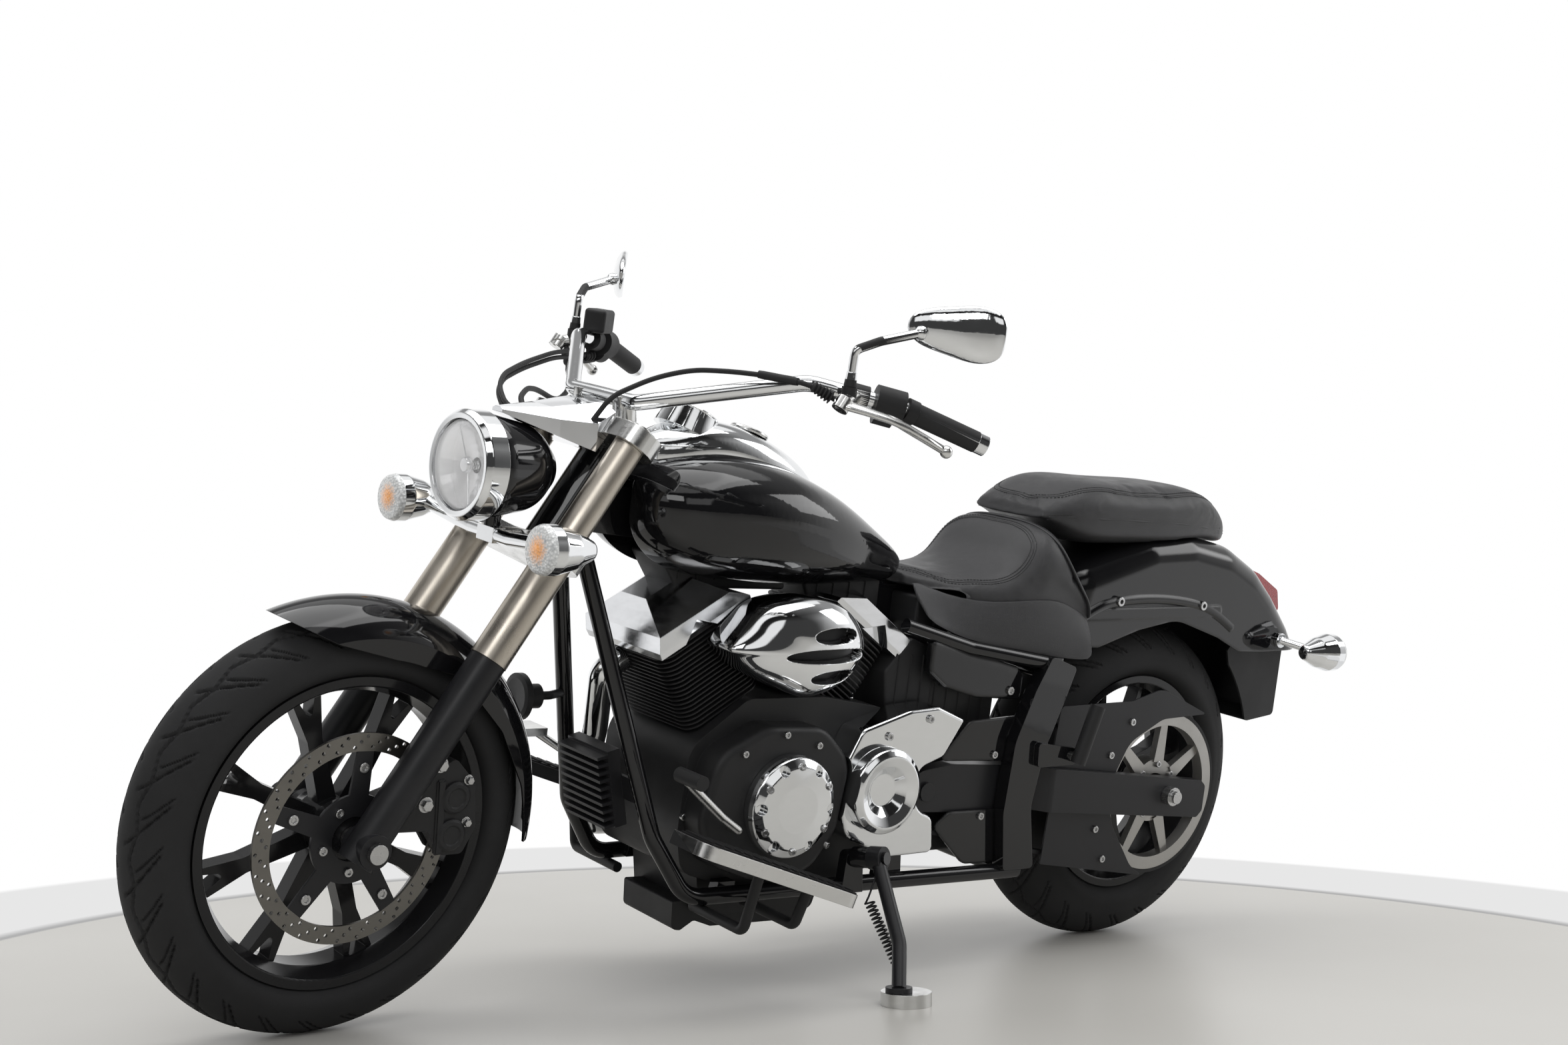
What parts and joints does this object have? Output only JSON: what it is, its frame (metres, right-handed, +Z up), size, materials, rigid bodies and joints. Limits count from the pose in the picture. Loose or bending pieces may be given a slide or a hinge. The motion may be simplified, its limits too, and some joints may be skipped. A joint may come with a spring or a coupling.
{
  "type": "cruiser motorcycle",
  "caption": "Full-size black and chrome V-twin cruiser motorcycle leaning on its side stand, with steering, turning wheels and a folding stand.",
  "frame": {"origin": "on the floor under the middle of the overall box", "axes": "+X forward along the machine, +Y to the rider's left, +Z up; the machine leans to +Y on its side stand"},
  "size_m": [2.4424, 0.9647, 1.297],
  "materials": {
    "aluminium": "satin",
    "black_plastic": "matte",
    "chrome": "polished",
    "clear_glass": "clear",
    "gloss_black": "gloss",
    "leather": "satin",
    "red_lens": "gloss",
    "rubber": "matte",
    "satin_black": "satin",
    "satin_nickel": "satin",
    "steel": "brushed",
    "tyre": "matte"
  },
  "bodies": {
    "chassis": {"air_cleaner": "chrome", "belt_guards": "satin_black", "crank_covers": "chrome", "cylinders": "satin_black", "drive_belt": "rubber", "engine_cases": "satin_black", "exhaust_pipes": "chrome", "foot_controls": "aluminium", "footrests": "aluminium", "frame": "satin_black", "fuel_tank": "gloss_black", "head_covers": "chrome", "horn": "satin_black", "mud_flap": "black_plastic", "pillion_seat": "leather", "rear_axle": "steel", "rear_caliper": "satin_black", "rear_fender": "gloss_black", "rear_signals": "chrome", "regulator": "satin_black", "rider_seat": "leather", "side_covers": "gloss_black", "silencer": "chrome", "skid_plate": "satin_black", "sprocket_cover": "chrome", "swingarm": "satin_black", "tail_lamp": "red_lens", "tank_console": "chrome"},
    "steering": {"fork_clamps": "satin_nickel", "fork_covers": "satin_nickel", "fork_sliders": "satin_black", "front_axle": "steel", "front_fender": "gloss_black", "headlight_shell": "gloss_black", "headlight_rim": "chrome", "headlight_lens": "clear_glass", "nacelle": "chrome", "handlebar": "chrome", "grips": "rubber", "bar_controls": "aluminium", "mirrors": "chrome", "front_signals": "chrome", "front_caliper": "satin_black", "control_cables": "rubber"},
    "front_wheel": {"front_tyre": "tyre", "front_rim": "gloss_black", "front_disc": "steel"},
    "rear_wheel": {"rear_tyre": "tyre", "rear_rim": "gloss_black", "rear_disc": "steel", "rear_pulley": "aluminium"},
    "side_stand": {"side_stand": "satin_black", "stand_puck": "aluminium"}
  },
  "joints": [
    {"name": "steering", "type": "hinge", "parent": "chassis", "child": "steering", "pos_m": [0.54458, -0.045, 0.7933], "axis": [-0.5291, 0.1473, 0.8357], "range_deg": [-39.7, 30.3]},
    {"name": "front_wheel_spin", "type": "hinge", "parent": "steering", "child": "front_wheel", "pos_m": [0.90239, -0.12569, 0.31344], "axis": [-0.0697, 0.974, -0.2158], "continuous": true},
    {"name": "rear_wheel_spin", "type": "hinge", "parent": "chassis", "child": "rear_wheel", "pos_m": [-0.78248, -0.12898, 0.31835], "axis": [-0.0002, 0.9848, -0.1736], "continuous": true},
    {"name": "side_stand_fold", "type": "hinge", "parent": "chassis", "child": "side_stand", "pos_m": [-0.01158, 0.07135, 0.22132], "axis": [-0.2767, 0.9605, 0.029], "range_deg": [0, 100]}
  ]
}
